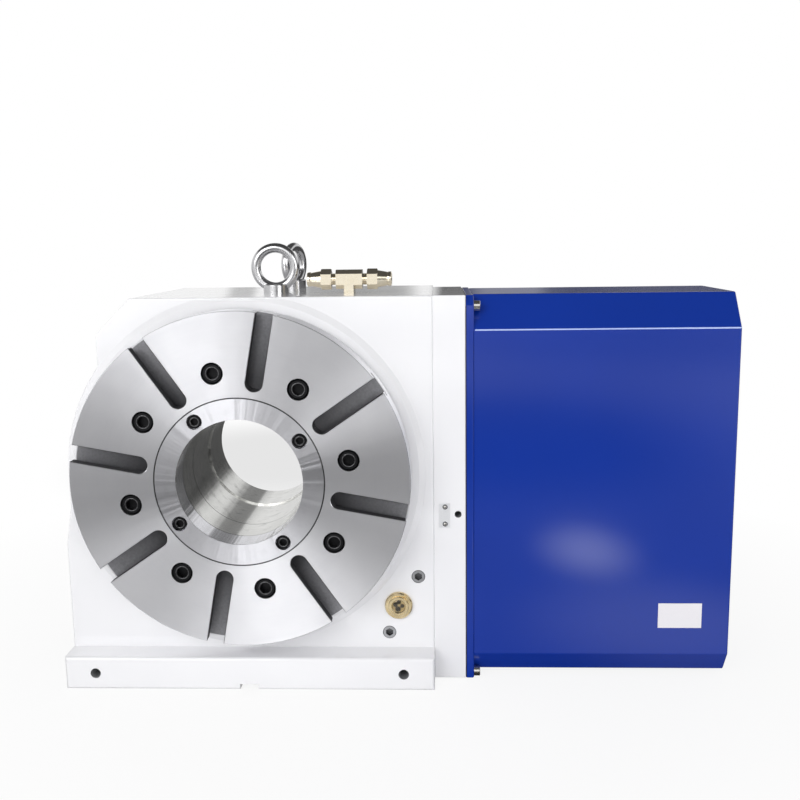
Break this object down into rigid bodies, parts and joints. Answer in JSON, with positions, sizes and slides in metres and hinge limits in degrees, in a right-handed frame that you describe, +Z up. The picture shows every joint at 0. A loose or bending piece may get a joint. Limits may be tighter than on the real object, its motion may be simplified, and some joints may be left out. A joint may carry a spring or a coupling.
{
  "type": "fourth axis rotary table",
  "caption": "Worm-driven rotary table for a machine tool's fourth axis: T-slotted faceplate on a hollow spindle, cast housing with hydraulic brake, geared motor in a side cover.",
  "frame": {"origin": "centre of the table's front face, on its turning axis", "axes": "+X towards the motor, +Y along the turning axis to the back, +Z up"},
  "size_m": [0.659, 0.24, 0.43],
  "materials": {
    "white_enamel": "gloss white enamel on cast iron",
    "blue_enamel": "gloss blue enamel on sheet steel",
    "ground_steel": "ground and turned steel",
    "bearing_steel": "polished bearing steel",
    "black_oxide_steel": "black oxide steel",
    "zinc_steel": "zinc plated steel",
    "bronze": "cast bronze",
    "brass": "turned brass",
    "seal_rubber": "nitrile rubber",
    "sight_glass": "clear glass",
    "motor_alloy": "painted aluminium",
    "black_plastic": "moulded plastic",
    "plate_alloy": "blank aluminium plate"
  },
  "bodies": {
    "base": {"housing": "white_enamel", "adapter_plate": "white_enamel", "motor_cover": "blue_enamel", "seal_carrier": "ground_steel", "brake_friction_ring": "ground_steel", "rear_cover": "ground_steel", "worm_end_cover": "ground_steel", "main_bearing_outer_ring": "bearing_steel", "rear_bearing_outer_ring": "bearing_steel", "worm_bearing_outer_rings": "bearing_steel", "motor_bearings": "bearing_steel", "seal_carrier_screws": "black_oxide_steel", "friction_ring_screws": "black_oxide_steel", "rear_cover_screws": "black_oxide_steel", "worm_end_cover_screws": "black_oxide_steel", "adapter_screws": "black_oxide_steel", "motor_screws": "black_oxide_steel", "pipe_plugs": "black_oxide_steel", "eyebolts": "zinc_steel", "motor_cover_screws": "zinc_steel", "tee_fitting": "brass", "tee_nuts": "brass", "tee_sleeves": "brass", "sight_glass_bezel": "brass", "front_seal": "seal_rubber", "rear_seal": "seal_rubber", "worm_shaft_seal": "seal_rubber", "sight_glass_window": "sight_glass", "motor_flange": "motor_alloy", "motor_body": "motor_alloy", "motor_end_cap": "black_plastic", "cable_gland": "black_plastic", "cable_gland_nuts": "black_plastic", "blank_plates": "plate_alloy"},
    "table": {"faceplate": "ground_steel", "faceplate_screws": "black_oxide_steel", "centre_bush": "ground_steel", "centre_bush_screws": "black_oxide_steel", "spindle": "ground_steel", "main_bearing_inner_ring": "bearing_steel", "main_bearing_rollers": "bearing_steel", "front_spacer": "ground_steel", "worm_wheel": "bronze", "worm_wheel_key": "ground_steel", "rear_spacer": "ground_steel", "rear_bearing_inner_ring": "bearing_steel", "rear_bearing_rollers": "bearing_steel", "brake_disc_spacer": "ground_steel", "brake_disc": "ground_steel", "spindle_nut": "ground_steel"},
    "worm": {"worm_shaft": "ground_steel", "worm_bearing_inner_rings": "bearing_steel", "worm_bearing_balls": "bearing_steel", "worm_shaft_nuts": "ground_steel", "worm_gear_spacer": "ground_steel", "worm_drive_gear": "ground_steel"},
    "rotor": {"motor_shaft": "ground_steel", "motor_pinion": "ground_steel"},
    "brake_piston": {"brake_piston": "ground_steel", "brake_piston_seals": "seal_rubber"}
  },
  "joints": [
    {"name": "table_spin", "type": "hinge", "parent": "base", "child": "table", "pos_m": [0, 0, 0], "axis": [0, 1, 0], "continuous": true},
    {"name": "worm_spin", "type": "hinge", "parent": "base", "child": "worm", "pos_m": [0, 0.115, -0.135], "axis": [1, 0, 0], "continuous": true},
    {"name": "rotor_spin", "type": "hinge", "parent": "base", "child": "rotor", "pos_m": [0.2, 0.115, -0.03], "axis": [1, 0, 0], "continuous": true},
    {"name": "brake_clamp", "type": "slide", "parent": "base", "child": "brake_piston", "axis": [0, -1, 0], "range_m": [0, 0.00025], "stiffness_N_per_m": 100000}
  ],
  "couplings": [
    {"joint": "worm_spin", "follows": "table_spin", "ratio": 90},
    {"joint": "rotor_spin", "follows": "table_spin", "ratio": -120}
  ]
}
